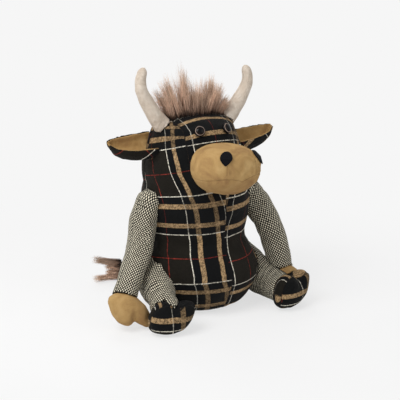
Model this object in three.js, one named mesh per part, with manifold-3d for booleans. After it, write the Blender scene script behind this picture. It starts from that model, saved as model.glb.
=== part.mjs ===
// A seated plush cow that holds a door open: a stuffed tartan body on a flat base, with a bag of sand inside.
// Millimetres, +Z up. The floor is z = 0, the cow faces -Y, and its own left is +X.

import * as THREE from "three";
import { mergeVertices } from "three/addons/utils/BufferGeometryUtils.js";
import Module from "manifold-3d";

const wasm = await Module();
wasm.setup();

// Body and head are one stuffed shell. Each rise is the height from one station of its profile to the next.
const rimRise = 10;
const hipRise = 37;
const waistRise = 44;
const chestRise = 44;
const neckRise = 32;
const cheekRise = 33;
const browRise = 38;
const crownRise = 20;

const baseRadius = 50;
const rimRadius = 65;
const hipRadius = 83;
const waistRadius = 67;
const chestRadius = 73;
const neckRadius = 70;
const cheekRadius = 68;
const browRadius = 57;
const crownRadius = 14;
const bellyReach = 6;
const headLean = 5;

// Base panel and the bag of sand behind it.
const panelThickness = 2;
const bagMouthRadius = 40;
const bagRadius = 58;
const bagHeight = 84;

// Muzzle: a wide upper lip over a smaller chin.
const muzzleForward = 82;
const muzzleDrop = 56;
const lipHalfWidth = 46;
const lipHalfDepth = 40;
const lipHalfHeight = 31;
const lipFullness = 2.5;
const chinHalfWidth = 43;
const chinHalfDepth = 36;
const chinHalfHeight = 22;
const chinDrop = 14;
const muzzleTurn = 4;
const muzzleRoll = 6;

// Felt nostrils on the lip.
const nostrilWidth = 16;
const nostrilLength = 17;
const nostrilThickness = 1.2;
const rightNostrilBearing = 37;
const leftNostrilBearing = 48;
const nostrilRise = 18;

// Domed safety eyes with a stem, and the washer that holds each from behind the cloth.
const eyeDrop = 14;
const eyeBearing = 21;
const eyeRadius = 7.3;
const eyeDome = 4.6;
const eyeFlange = 0.9;
const stemRadius = 2.2;
const stemLength = 12;
const washerRadius = 6.5;
const washerThickness = 1.6;
const washerDepth = 4;

// Ears: a tartan leaf outside and a suede leaf inside, cupped and open to the top.
const rightEarDrop = 23;
const leftEarDrop = 32;
const rightEarLength = 67;
const leftEarLength = 63;
const earRootDepth = 10;
const earWrap = 86;
const earHalfWidth = 17;
const earCup = 22;
const earOuterThickness = 2.4;
const earInnerThickness = 1.8;
const rightEarTurn = 17;
const leftEarTurn = 9;
const earRimDrop = 5;
const rightEarDroop = 2;
const leftEarDroop = -4;

// Horns, from a wide root out, up and in to a blunt tip.
const hornDrop = 12;
const hornSpread = 48;
const hornSweep = 32;
const rightHornRise = 79;
const leftHornRise = 70;
const hornHook = 5;
const hornForward = 5;
const hornRootRadius = 14;
const hornTipRadius = 7.5;
const hornTaperEnd = 0.9;

// The forelock stands between the horns in two peaks, placed in shares of its half width.
const forelockHalfWidth = 41;
const forelockShift = -4;
const forelockDepth = 18;
const rightPeakHeight = 57;
const rightPeakAt = -0.43;
const leftPeakHeight = 51;
const leftPeakAt = 0.42;
const peakSpread = 0.42;
const forelockValley = 38;
const forelockParting = -0.06;
const rightFan = 17;
const leftFan = 8;
const lockRadius = 9.5;
const locksAcross = 8;
const lockRows = 2;

// Arms, each sewn on at the shoulder and hanging to a hand on the floor.
const shoulderRise = 8;
const armRadius = 21;
const wristRadius = 17.5;
const armTaperEnd = 0.9;
const rightShoulderForward = 7;
const leftShoulderForward = 12;
const rightElbowOut = 91;
const leftElbowOut = 93;
const rightElbowForward = 10;
const leftElbowForward = 38;
const elbowHeight = 96;
const rightWristHeight = 47;
const leftWristHeight = 34;
const rightWristOut = 127;
const rightWristForward = 40;
const leftWristOut = 105;
const leftWristForward = 56;

// Hands and feet are cloven: two toes with a cleft between.
const handWidth = 54;
const handDepth = 38;
const rightHandLength = 49;
const leftHandLength = 48;
const handOverlap = 12;
const rightHandOut = 10;
const leftHandOut = 0;
const handForward = 8;
const handDroop = 0.6;
const handTuck = 0.48;
const handReach = 0.12;
const handTurn = 0.18;
const footWidth = 60;
const footDepth = 40;
const rightFootHeight = 44;
const leftFootHeight = 51;
const rightFootOut = 99;
const leftFootOut = 86;
const footForward = 94;
const footTurn = 19;
const rightFootLean = 20;
const leftFootLean = -15;
const cleftDepth = 10;
const heelFullness = 2.5;
const toeFullness = 4;

// Legs, from a fat thigh at the hip to the back of the foot.
const hipInset = 25;
const thighRadius = 32.5;
const ankleRadius = 20;
const thighTaperEnd = 0.75;
const kneeShare = 0.55;
const kneeOut = 8;
const rightKneeLift = 3;
const leftKneeLift = -7;

// Tail: a cloth tube with a brush of hair, lying to the cow's right.
const tailDrop = 9;
const tailRadius = 6.5;
const tailReach = 29;
const tailOut = 62;
const tailEndHeight = 22;
const brushLength = 41;
const brushHalfWidth = 15;
const brushLockRadius = 8;
const brushLocks = 6;
const brushSway = 5;
const brushDrop = 3;

// Clearances: between two sewn pieces, and round what passes through the cloth.
const seamGap = 0.3;
const boreGap = 0.3;

// Facets round and along each form.
const bodyFacets = 32;
const bodyRows = 22;
const limbFacets = 14;
const limbRows = 7;
const hornRows = 12;
const hoofFacets = 20;
const hoofRows = 8;
const lockFacets = 5;
const lockSteps = 3;
const ballFacets = 24;
const backingFacets = 14;
const roundFacets = 16;
const earSteps = 8;
const sliverTolerance = 0.02;

const up = new THREE.Vector3(0, 0, 1);
const radians = THREE.MathUtils.degToRad;

function solidOf(geometry) {
  const bare = geometry.clone();
  bare.deleteAttribute("normal");
  bare.deleteAttribute("uv");
  const merged = mergeVertices(bare, 1e-4);
  return new wasm.Manifold(
    new wasm.Mesh({
      numProp: 3,
      vertProperties: new Float32Array(merged.attributes.position.array),
      triVerts: new Uint32Array(merged.index.array),
    }),
  );
}

function geometryOf(solid) {
  const mesh = solid.simplify(sliverTolerance).getMesh();
  const geometry = new THREE.BufferGeometry();
  geometry.setAttribute("position", new THREE.BufferAttribute(new Float32Array(mesh.vertProperties), 3));
  geometry.setIndex(new THREE.BufferAttribute(new Uint32Array(mesh.triVerts), 1));
  geometry.computeVertexNormals();
  return geometry;
}

// What is left of a solid after its neighbours are taken away, without the crumbs on their far side.
function cutBy(solid, ...neighbours) {
  const rest = neighbours.reduce((left, neighbour) => left.subtract(neighbour), solid);
  const pieces = rest.decompose();
  return pieces.reduce((largest, piece) => (piece.volume() > largest.volume() ? piece : largest));
}

function join(solids) {
  return solids.reduce((all, solid) => all.add(solid));
}

// A closed skin over rings of equally many points, each ring running anticlockwise seen from the last one.
function loft(rings, startPole, endPole) {
  const count = rings[0].length;
  const points = [...rings.flat(), startPole, endPole];
  const startIndex = rings.length * count;
  const faces = [];
  for (let row = 0; row < rings.length - 1; row += 1) {
    for (let step = 0; step < count; step += 1) {
      const here = row * count + step;
      const next = row * count + ((step + 1) % count);
      faces.push(here, next, next + count, here, next + count, here + count);
    }
  }
  const lastRow = (rings.length - 1) * count;
  for (let step = 0; step < count; step += 1) {
    const next = (step + 1) % count;
    faces.push(next, step, startIndex, lastRow + step, lastRow + next, startIndex + 1);
  }
  const geometry = new THREE.BufferGeometry().setFromPoints(points);
  geometry.setIndex(faces);
  return geometry;
}

function circle(radius, count) {
  return Array.from({ length: count }, (_, step) => {
    const angle = (2 * Math.PI * step) / count;
    return new THREE.Vector2(radius * Math.cos(angle), radius * Math.sin(angle));
  });
}

// A section carried along a curve. The spacing bunches the rows where the form turns fast.
function sweep(curve, rows, section, reference = up, spacing = (share) => share) {
  const rings = [];
  for (let row = 0; row <= rows; row += 1) {
    const share = spacing(row / rows);
    const centre = curve.getPointAt(share);
    const tangent = curve.getTangentAt(share);
    const side = reference.clone().cross(tangent).normalize();
    const over = tangent.clone().cross(side);
    rings.push(
      section(share).map((corner) =>
        centre.clone().addScaledVector(side, corner.x).addScaledVector(over, corner.y),
      ),
    );
  }
  return loft(rings, curve.getPointAt(0), curve.getPointAt(1));
}

function smoothCurve(...points) {
  return new THREE.CatmullRomCurve3(points, false, "centripetal");
}

function at(x, y, z) {
  return new THREE.Vector3(x, y, z);
}

// Body and head

const bodyFloor = panelThickness + seamGap;

function profileOfBody() {
  const radii = [baseRadius, rimRadius, hipRadius, waistRadius, chestRadius, neckRadius];
  radii.push(cheekRadius, browRadius);
  const rises = [rimRise, hipRise, waistRise, chestRise, neckRise, cheekRise, browRise];
  let height = bodyFloor;
  const points = [new THREE.Vector2(radii[0], height)];
  rises.forEach((rise, index) => {
    height += rise;
    points.push(new THREE.Vector2(radii[index + 1], height));
  });
  for (const turn of [35, 65]) {
    const radius = crownRadius + (browRadius - crownRadius) * Math.cos(radians(turn));
    points.push(new THREE.Vector2(radius, height + crownRise * Math.sin(radians(turn))));
  }
  points.push(new THREE.Vector2(crownRadius, height + crownRise));
  return new THREE.SplineCurve(points);
}

const bodyProfile = profileOfBody();

// Heights of the places where the other pieces are sewn on.
const hipHeight = bodyFloor + rimRise + hipRise;
const shoulderHeight = hipHeight + waistRise + chestRise + shoulderRise;
const crownHeight = bodyProfile.getPoint(1).y;
const eyeHeight = crownHeight - eyeDrop;
const muzzleHeight = crownHeight - muzzleDrop;
const hornHeight = crownHeight - hornDrop;
const tailHeight = hipHeight - tailDrop;
const tailBack = hipRadius + tailReach;

// The share of the profile's length at a height, by halving.
function profileShare(height) {
  let low = 0;
  let high = 1;
  for (let round = 0; round < 30; round += 1) {
    const middle = (low + high) / 2;
    if (bodyProfile.getPointAt(middle).y < height) {
      low = middle;
    } else {
      high = middle;
    }
  }
  return low;
}

// The belly bulges to the front at hip height, and the head leans a little to the cow's right.
function bellyAt(height) {
  const offset = (height - hipHeight) / (waistRise + hipRise);
  return bellyReach * Math.exp(-4 * offset * offset);
}

function leanAt(height) {
  return -headLean * THREE.MathUtils.smoothstep(height, hipHeight, crownHeight);
}

function skinPoint(radius, height, bearing) {
  const forward = radius * Math.cos(bearing) + bellyAt(height) * Math.max(Math.cos(bearing), 0);
  return at(leanAt(height) + radius * Math.sin(bearing), -forward, height);
}

// A point on the body, by its height and its bearing: 0 is the front, and positive is the cow's left.
function bodyPoint(height, bearing) {
  return skinPoint(bodyProfile.getPointAt(profileShare(height)).x, height, bearing);
}

function bodyNormal(height, bearing) {
  const slope = bodyProfile.getTangentAt(profileShare(height));
  return at(slope.y * Math.sin(bearing), -slope.y * Math.cos(bearing), -slope.x).normalize();
}

function bodySkin(grow) {
  const rings = [];
  for (let row = 0; row <= bodyRows; row += 1) {
    const point = bodyProfile.getPointAt(row / bodyRows);
    const slope = bodyProfile.getTangentAt(row / bodyRows);
    const radius = point.x + grow * slope.y;
    const height = row === 0 ? bodyFloor - grow : point.y - grow * slope.x;
    const ring = [];
    for (let step = 0; step < bodyFacets; step += 1) {
      ring.push(skinPoint(radius, height, (2 * Math.PI * step) / bodyFacets));
    }
    rings.push(ring);
  }
  const top = at(leanAt(crownHeight), 0, crownHeight + grow);
  return solidOf(loft(rings, at(0, 0, bodyFloor - grow), top));
}

const bodyRoom = bodySkin(seamGap);

// A form turned about +Y is laid along a direction, with its origin at a place.
function turnedSolid(profile, facets, place, direction) {
  const geometry = new THREE.LatheGeometry(profile, facets);
  const turn = new THREE.Quaternion().setFromUnitVectors(at(0, 1, 0), direction);
  geometry.applyQuaternion(turn);
  geometry.translate(place.x, place.y, place.z);
  return solidOf(geometry);
}

function bagProfile(grow) {
  const floor = bodyFloor + seamGap;
  const spline = new THREE.SplineCurve([
    new THREE.Vector2(bagMouthRadius + grow, floor),
    new THREE.Vector2(bagRadius + grow, floor + bagHeight * 0.32),
    new THREE.Vector2(bagRadius * 0.88 + grow, floor + bagHeight * 0.72),
    new THREE.Vector2(bagRadius * 0.45, floor + bagHeight + grow),
  ]);
  const side = spline.getPoints(10);
  const foot = floor - (grow > 0 ? 2 * seamGap + grow : 0);
  return [
    new THREE.Vector2(0, foot),
    new THREE.Vector2(bagMouthRadius + grow, foot),
    ...side.slice(grow > 0 ? 0 : 1),
    new THREE.Vector2(0, floor + bagHeight + grow),
  ];
}

// Eyes

function eyePlace(side) {
  const bearing = radians(eyeBearing) * side;
  const normal = bodyNormal(eyeHeight, bearing);
  return { place: bodyPoint(eyeHeight, bearing).addScaledVector(normal, -seamGap), normal };
}

function eyeProfile() {
  const profile = [new THREE.Vector2(0, -stemLength), new THREE.Vector2(stemRadius, -stemLength)];
  profile.push(new THREE.Vector2(stemRadius, 0), new THREE.Vector2(eyeRadius, 0));
  for (let step = 0; step <= 6; step += 1) {
    const angle = (Math.PI / 2) * (step / 6);
    profile.push(new THREE.Vector2(eyeRadius * Math.cos(angle), eyeFlange + eyeDome * Math.sin(angle)));
  }
  profile[profile.length - 1].x = 0;
  return profile;
}

function socketProfile() {
  const bore = stemRadius + boreGap;
  const pocket = washerRadius + boreGap;
  const pocketTop = -washerDepth + boreGap;
  const pocketFloor = -washerDepth - washerThickness - boreGap;
  return [
    new THREE.Vector2(0, -stemLength - boreGap),
    new THREE.Vector2(bore, -stemLength - boreGap),
    new THREE.Vector2(bore, pocketFloor),
    new THREE.Vector2(pocket, pocketFloor),
    new THREE.Vector2(pocket, pocketTop),
    new THREE.Vector2(bore, pocketTop),
    new THREE.Vector2(bore, -seamGap),
    new THREE.Vector2(eyeRadius + boreGap, -seamGap),
    new THREE.Vector2(eyeRadius + boreGap, eyeDome),
    new THREE.Vector2(0, eyeDome),
  ];
}

function washerProfile() {
  const hole = stemRadius + boreGap;
  return [
    new THREE.Vector2(hole, -washerDepth - washerThickness),
    new THREE.Vector2(washerRadius, -washerDepth - washerThickness),
    new THREE.Vector2(washerRadius, -washerDepth),
    new THREE.Vector2(hole, -washerDepth),
    new THREE.Vector2(hole, -washerDepth - washerThickness),
  ];
}

// Muzzle

// A ball with fuller shoulders than an ellipsoid: a fullness of 2 is the plain one.
function plumpBall(halfWidth, halfDepth, halfHeight, place, grow, fullness = 2, facets = ballFacets) {
  const geometry = new THREE.SphereGeometry(1, facets, facets / 2);
  geometry.rotateX(Math.PI / 2);
  const corners = geometry.attributes.position;
  for (let index = 0; index < corners.count; index += 1) {
    const corner = at(corners.getX(index), corners.getY(index), corners.getZ(index));
    const powers = corner.toArray().reduce((total, value) => total + Math.abs(value) ** fullness, 0);
    corner.multiplyScalar(powers ** (-1 / fullness));
    corners.setXYZ(index, corner.x, corner.y, corner.z);
  }
  geometry.scale(halfWidth + grow, halfDepth + grow, halfHeight + grow);
  geometry.translate(place.x, place.y, place.z);
  return solidOf(geometry);
}

// The muzzle is modelled about its own centre, then set on the head with a slight turn and roll.
function onMuzzle(solid) {
  const seated = solid.rotate([0, muzzleRoll, muzzleTurn]);
  return seated.translate([leanAt(muzzleHeight), -muzzleForward, muzzleHeight]);
}

function muzzleForm(grow) {
  const lip = plumpBall(lipHalfWidth, lipHalfDepth, lipHalfHeight, at(0, 0, 0), grow, lipFullness);
  return lip.add(plumpBall(chinHalfWidth, chinHalfDepth, chinHalfHeight, at(0, 1, -chinDrop), grow));
}

function teardrop() {
  const round = nostrilWidth / 2;
  const shape = new THREE.Shape();
  shape.moveTo(0, round - nostrilLength);
  shape.quadraticCurveTo(round * 0.75, round * 0.4 - nostrilLength / 2, round, 0);
  shape.absarc(0, 0, round, 0, Math.PI, false);
  shape.quadraticCurveTo(-round * 0.75, round * 0.4 - nostrilLength / 2, 0, round - nostrilLength);
  return shape;
}

const nostrilBearings = { right: radians(-rightNostrilBearing), left: radians(leftNostrilBearing) };

function nostril(bearing) {
  const depth = lipHalfWidth * 2;
  const prism = new THREE.ExtrudeGeometry(teardrop(), { depth, bevelEnabled: false, curveSegments: 8 });
  prism.rotateX(Math.PI / 2);
  prism.rotateZ(bearing);
  prism.translate(0, 0, nostrilRise);
  const patch = solidOf(prism).intersect(muzzleForm(seamGap + nostrilThickness));
  return onMuzzle(cutBy(patch, muzzleForm(seamGap)));
}

// Horns

const hornPlan = {
  right: { side: -1, rise: rightHornRise },
  left: { side: 1, rise: leftHornRise },
};

function hornCurve({ side, rise }) {
  const root = at(leanAt(hornHeight) + side * hornSpread, -hornForward, hornHeight);
  const inside = at(-side * hornRootRadius, 0, -hornRootRadius);
  return smoothCurve(
    root.clone().add(inside),
    root,
    root.clone().add(at(side * hornSweep * 0.62, 0, rise * 0.35)),
    root.clone().add(at(side * hornSweep, 0, rise * 0.66)),
    root.clone().add(at(side * (hornSweep - hornHook * 0.2), 0, rise * 0.85)),
    root.clone().add(at(side * (hornSweep - hornHook), 0, rise)),
  );
}

function hornForm(plan, grow) {
  const radiusAt = (share) => {
    const taper = THREE.MathUtils.lerp(hornRootRadius, hornTipRadius, Math.min(share / hornTaperEnd, 1));
    const end = Math.max(share - hornTaperEnd, 0) / (1 - hornTaperEnd);
    return taper * Math.sqrt(Math.max(1 - end * end, 0.02)) + grow;
  };
  const section = (share) => circle(radiusAt(share), limbFacets);
  return solidOf(sweep(hornCurve(plan), hornRows, section, at(0, 1, 0), (share) => 1 - (1 - share) ** 1.5));
}

// Ears

// A flat panel bent into a form: along from 0 to 1, across from -1 to 1, and through from 0 to 1.
function bentPanel(place) {
  const box = new THREE.BoxGeometry(1, 1, 1, earSteps, earSteps, 1);
  box.deleteAttribute("normal");
  box.deleteAttribute("uv");
  const panel = mergeVertices(box);
  const corners = panel.attributes.position;
  for (let index = 0; index < corners.count; index += 1) {
    const along = corners.getX(index) + 0.5;
    const across = corners.getY(index) * 2;
    const through = corners.getZ(index) + 0.5;
    const bent = place(along, across, through);
    corners.setXYZ(index, bent.x, bent.y, bent.z);
  }
  return solidOf(panel);
}

const earPlan = {
  right: {
    side: -1,
    length: rightEarLength,
    height: crownHeight - rightEarDrop,
    droop: rightEarDroop,
    turn: rightEarTurn,
  },
  left: {
    side: 1,
    length: leftEarLength,
    height: crownHeight - leftEarDrop,
    droop: leftEarDroop,
    turn: leftEarTurn,
  },
};

function leafWidth(along) {
  return (1 - 0.18 * along) * (1 - along ** 4) ** 0.6 + 0.06;
}

// One layer of an ear between two distances outside its inner face.
function earLayer({ side, length, height, droop, turn }, from, to) {
  const root = bodyPoint(height, radians(90) * side);
  const axis = at(side * Math.cos(radians(droop)), 0, -Math.sin(radians(droop)));
  return bentPanel((along, across, through) => {
    const size = leafWidth(along);
    const angle = radians(-90 - turn) + radians(earWrap) * across;
    const offset = THREE.MathUtils.lerp(from, to, side > 0 ? through : 1 - through);
    const forward = (earHalfWidth * size + offset) * Math.cos(angle);
    const rise = (earCup * size + offset) * Math.sin(angle) - earRimDrop * size;
    const reach = along * (length + earRootDepth) - earRootDepth;
    return root.clone().addScaledVector(axis, reach).add(at(0, -forward, rise));
  });
}

// Hair

// One lock: a cone of hair that bends from its root towards its tip.
function hairLock(root, tip, bend, radius) {
  const middle = root.clone().lerp(tip, 0.5).add(bend);
  const section = (share) => circle(radius * (1 - 0.86 * share ** 1.7), lockFacets);
  return solidOf(sweep(smoothCurve(root, middle, tip), lockSteps, section, at(0, 1, 0)));
}

// The forelock falls away from its peaks, towards its parting and its sides.
function forelockReach(across) {
  const onRight = across < forelockParting;
  const peak = onRight ? rightPeakHeight : leftPeakHeight;
  const away = Math.abs(across - (onRight ? rightPeakAt : leftPeakAt)) / peakSpread;
  return peak - (peak - forelockValley) * Math.min(away, 1.3) ** 1.4;
}

function forelock() {
  const centre = leanAt(crownHeight) + forelockShift;
  const backing = at(centre, 0, crownHeight - crownRise);
  const halfHeight = crownRise + lockRadius;
  const locks = [plumpBall(forelockHalfWidth, forelockDepth, halfHeight, backing, 0, 2, backingFacets)];
  for (let row = 0; row < lockRows; row += 1) {
    const depth = (row / (lockRows - 1) - 0.5) * forelockDepth;
    for (let column = 0; column < locksAcross; column += 1) {
      const stagger = ((row % 2) * 0.5) / locksAcross;
      const across = (2 * column) / (locksAcross - 1) - 1 + stagger;
      const uneven = Math.sin(5 * column + 3 * row);
      const x = centre + across * forelockHalfWidth;
      const drop = crownRise * 0.9 * across * across;
      const root = at(x, depth, crownHeight - drop - lockRadius);
      const height = forelockReach(across) + 4 * uneven + lockRadius;
      const fan = across * (across < 0 ? rightFan : leftFan);
      const tip = root.clone().add(at(fan + 3 * uneven, depth * 0.5, height + drop * 0.6));
      locks.push(hairLock(root, tip, at(across * 2, depth * 0.1, 0), lockRadius));
    }
  }
  return join(locks);
}

// Arms, hands, legs and feet

// A stuffed tube that has its end radius from a share of its length on.
function taperedLimb(curve, startRadius, endRadius, taperEnd, grow) {
  const taper = (share) => {
    return THREE.MathUtils.lerp(startRadius, endRadius, THREE.MathUtils.smoothstep(share, 0, taperEnd));
  };
  const section = (share) => circle(taper(share) + grow, limbFacets);
  return solidOf(sweep(curve, limbRows, section, at(0, 1, 0)));
}

const armPlan = {
  right: {
    side: -1,
    shoulderForward: rightShoulderForward,
    elbowOut: rightElbowOut,
    elbowForward: rightElbowForward,
    wristOut: rightWristOut,
    wristForward: rightWristForward,
    wristHeight: rightWristHeight,
    handOut: rightHandOut,
    handLength: rightHandLength,
  },
  left: {
    side: 1,
    shoulderForward: leftShoulderForward,
    elbowOut: leftElbowOut,
    elbowForward: leftElbowForward,
    wristOut: leftWristOut,
    wristForward: leftWristForward,
    wristHeight: leftWristHeight,
    handOut: leftHandOut,
    handLength: leftHandLength,
  },
};

function armJoints({ side, elbowOut, elbowForward, wristOut, wristForward, wristHeight }) {
  const elbow = at(side * elbowOut, -elbowForward, elbowHeight);
  const wrist = at(side * wristOut, -wristForward, wristHeight);
  return { elbow, wrist, forearm: wrist.clone().sub(elbow).normalize() };
}

function armCurve(plan) {
  const { side, shoulderForward } = plan;
  const { elbow, wrist, forearm } = armJoints(plan);
  const skin = bodyPoint(shoulderHeight, radians(90) * side);
  return smoothCurve(
    at(skin.x - side * armRadius, -shoulderForward, shoulderHeight + armRadius * 0.5),
    at(skin.x + side * armRadius * 0.1, -shoulderForward, shoulderHeight),
    elbow,
    wrist,
    wrist.clone().addScaledVector(forearm, handOverlap),
  );
}

// A cloven hoof along +Z, with its two toes at the far end and a cleft between them that faces -Y and +Y.
function hoofForm(width, depth, length, grow) {
  const rings = [];
  const swell = (share) => {
    const fullness = share < 0.5 ? heelFullness : toeFullness;
    return Math.sqrt(Math.max(1 - Math.abs(2 * share - 1) ** fullness * 0.97, 0.02));
  };
  for (let row = 0; row <= hoofRows; row += 1) {
    const share = 0.5 - 0.5 * Math.cos(Math.PI * (row / hoofRows));
    const size = swell(share);
    const toe = THREE.MathUtils.smoothstep(share, 0.25, 1);
    const ring = [];
    for (let step = 0; step < hoofFacets; step += 1) {
      const angle = (2 * Math.PI * step) / hoofFacets;
      const middle = Math.exp(-((Math.cos(angle) / 0.3) ** 2));
      const pinch = 1 - 0.42 * toe * middle;
      const x = ((width / 2) * size + grow) * Math.cos(angle);
      const y = ((depth / 2) * size * pinch + grow) * Math.sin(angle);
      const cleft = cleftDepth * toe * toe * Math.exp(-((x / (width * 0.13)) ** 2));
      const z = share * (length + 2 * grow) - grow - cleft;
      ring.push(at(x, y, z));
    }
    rings.push(ring);
  }
  return loft(rings, at(0, 0, -grow), at(0, 0, length + grow - cleftDepth));
}

// Stands a form on a place along an axis, and shears its far end over by the lean.
function placed(geometry, place, axis, facing, lean) {
  const z = axis.clone().normalize();
  const x = facing.clone().cross(z).normalize().negate();
  const y = z.clone().cross(x);
  geometry.applyMatrix4(new THREE.Matrix4().makeBasis(x, y, z.add(lean)).setPosition(place));
  return solidOf(geometry);
}

// A hand hangs from its wrist with its toes on the floor.
function handForm(plan, grow) {
  const { forearm, wrist } = armJoints(plan);
  const axis = forearm.clone().lerp(at(0, 0, -1), handDroop);
  const lean = at(-plan.side * handTuck, -handReach, 0);
  const place = wrist.clone().add(at(plan.side * plan.handOut, -handForward, 0));
  const facing = at(plan.side * handTurn, -1, 0);
  const form = (extra) => hoofForm(handWidth, handDepth, plan.handLength, extra);
  const hoof = (extra) => placed(form(extra), place, axis, facing, lean);
  return hoof(grow).translate([0, 0, -hoof(0).boundingBox().min[2]]);
}

const footPlan = {
  right: {
    side: -1,
    height: rightFootHeight,
    out: rightFootOut,
    lean: rightFootLean,
    kneeLift: rightKneeLift,
  },
  left: {
    side: 1,
    height: leftFootHeight,
    out: leftFootOut,
    lean: leftFootLean,
    kneeLift: leftKneeLift,
  },
};

// A foot stands on its heel with its toes up and shifted in or out over it.
function footForm({ side, height, out, lean }, grow) {
  const turn = radians(footTurn) * side;
  const facing = at(Math.sin(turn), -Math.cos(turn), 0);
  const over = at(-side * Math.tan(radians(lean)), 0, 0);
  const place = at(side * out, -footForward, 0);
  const hoof = (extra) => placed(hoofForm(footWidth, footDepth, height, extra), place, up, facing, over);
  return hoof(grow).translate([0, 0, -hoof(0).boundingBox().min[2]]);
}

function legCurve({ side, out, lean, kneeLift }) {
  const ankleHeight = ankleRadius + 1;
  const foot = at(side * (out - Math.tan(radians(lean)) * ankleHeight), -footForward, ankleHeight);
  const hip = at(side * (hipRadius - hipInset), 0, hipHeight);
  const knee = hip.clone().lerp(foot, kneeShare).add(at(side * kneeOut, 0, kneeLift));
  return smoothCurve(hip, knee, foot);
}

// Tail

function tailCurve() {
  const root = bodyPoint(tailHeight, Math.PI);
  return smoothCurve(
    root.clone().add(at(0, -tailRadius * 2, 0)),
    root.clone().add(at(-tailRadius, tailRadius * 1.5, 0)),
    at(-tailOut * 0.55, tailBack * 0.93, (tailHeight + tailEndHeight) / 2),
    at(-tailOut, tailBack, tailEndHeight),
  );
}

function tailBrush() {
  const curve = tailCurve();
  const end = curve.getPointAt(1);
  const along = curve.getTangentAt(1);
  along.z = 0;
  along.normalize();
  const locks = [];
  for (let index = 0; index < brushLocks; index += 1) {
    const spread = (2 * index) / (brushLocks - 1) - 1;
    const length = brushLength * (0.72 + 0.28 * Math.abs(spread));
    const root = end.clone().addScaledVector(along, -brushLockRadius);
    const tip = end.clone().addScaledVector(along, length).add(at(0, 0, spread * brushHalfWidth - brushDrop));
    tip.add(at(spread * 2, Math.cos(4 * index) * brushSway, 0));
    locks.push(hairLock(root, tip, at(0, 0, spread * brushHalfWidth * 0.3), brushLockRadius));
  }
  return join(locks);
}

// Assembly

const finishes = {
  tartan: { color: "#2a2622", roughness: 0.95 },
  tweed: { color: "#7d7866", roughness: 0.95 },
  suede: { color: "#b4965f", roughness: 0.9 },
  hornCloth: { color: "#ded6cb", roughness: 0.9 },
  hair: { color: "#8a6f5e", roughness: 0.8 },
  felt: { color: "#0b0b0e", roughness: 0.95 },
  eyePlastic: { color: "#120c0a", roughness: 0.15 },
  washerPlastic: { color: "#d8d5cc", roughness: 0.5 },
  calico: { color: "#cfc4a8", roughness: 0.95 },
};

const cow = new THREE.Group();

function addPart(name, solid, finish) {
  const material = new THREE.MeshStandardMaterial({ ...finishes[finish], metalness: 0 });
  const mesh = new THREE.Mesh(geometryOf(solid), material);
  mesh.name = name;
  cow.add(mesh);
}

const eyePlaces = { right: eyePlace(-1), left: eyePlace(1) };
const sides = { right: -1, left: 1 };

function lathedUp(profile) {
  return solidOf(new THREE.LatheGeometry(profile, roundFacets).rotateX(Math.PI / 2));
}

function addBody() {
  const sockets = Object.values(eyePlaces).map(({ place, normal }) =>
    turnedSolid(socketProfile(), roundFacets, place, normal),
  );
  addPart("torso_head", cutBy(bodySkin(0), ...sockets, lathedUp(bagProfile(seamGap))), "tartan");
  addPart("weight_bag", lathedUp(bagProfile(0)), "calico");
  const panel = new THREE.CylinderGeometry(baseRadius, baseRadius, panelThickness, bodyFacets);
  panel.rotateX(Math.PI / 2).translate(0, 0, panelThickness / 2);
  addPart("base_panel", solidOf(panel), "tartan");
}

function addFace() {
  addPart("muzzle", cutBy(onMuzzle(muzzleForm(0)), bodyRoom), "suede");
  for (const [name, side] of Object.entries(sides)) {
    const { place, normal } = eyePlaces[name];
    addPart(`nostril_${name}`, nostril(nostrilBearings[name]), "felt");
    addPart(`eye_${name}`, turnedSolid(eyeProfile(), roundFacets, place, normal), "eyePlastic");
    addPart(`eye_washer_${name}`, turnedSolid(washerProfile(), roundFacets, place, normal), "washerPlastic");
  }
}

function addHeadTrim() {
  for (const name of Object.keys(sides)) {
    const hornRoom = hornForm(hornPlan[name], seamGap);
    const innerTo = earInnerThickness;
    const outerFrom = earInnerThickness + seamGap;
    const inner = earLayer(earPlan[name], 0, innerTo);
    const outer = earLayer(earPlan[name], outerFrom, outerFrom + earOuterThickness);
    addPart(`ear_outer_${name}`, cutBy(outer, bodyRoom, hornRoom), "tartan");
    addPart(`ear_inner_${name}`, cutBy(inner, bodyRoom, hornRoom), "suede");
    addPart(`horn_${name}`, cutBy(hornForm(hornPlan[name], 0), bodyRoom), "hornCloth");
  }
  const hornRooms = Object.values(hornPlan).map((plan) => hornForm(plan, seamGap));
  addPart("forelock", cutBy(forelock(), bodyRoom, ...hornRooms), "hair");
}

function addLimbs() {
  for (const [name, side] of Object.entries(sides)) {
    const plan = armPlan[name];
    const legRoom = taperedLimb(legCurve(footPlan[name]), thighRadius, ankleRadius, thighTaperEnd, seamGap);
    const armRoom = taperedLimb(armCurve(plan), armRadius, wristRadius, armTaperEnd, seamGap);
    const footRoom = footForm(footPlan[name], seamGap);
    const arm = taperedLimb(armCurve(plan), armRadius, wristRadius, armTaperEnd, 0);
    const leg = taperedLimb(legCurve(footPlan[name]), thighRadius, ankleRadius, thighTaperEnd, 0);
    addPart(`arm_${name}`, cutBy(arm, bodyRoom, handForm(plan, seamGap), legRoom, footRoom), "tweed");
    addPart(`hand_${name}`, cutBy(handForm(plan, 0), legRoom, footRoom), "suede");
    addPart(`leg_${name}`, cutBy(leg, bodyRoom, footRoom), "tweed");
    addPart(`foot_${name}`, footForm(footPlan[name], 0), "tartan");
  }
}

function addTail() {
  const section = (grow) => () => circle(tailRadius + grow, lockFacets * 2);
  const tube = (grow) => solidOf(sweep(tailCurve(), limbRows, section(grow), up));
  addPart("tail", cutBy(tube(0), bodyRoom), "tartan");
  addPart("tail_brush", cutBy(tailBrush(), bodyRoom, tube(seamGap)), "hair");
}

addBody();
addFace();
addHeadTrim();
addLimbs();
addTail();

export default cow;
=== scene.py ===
import math

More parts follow.
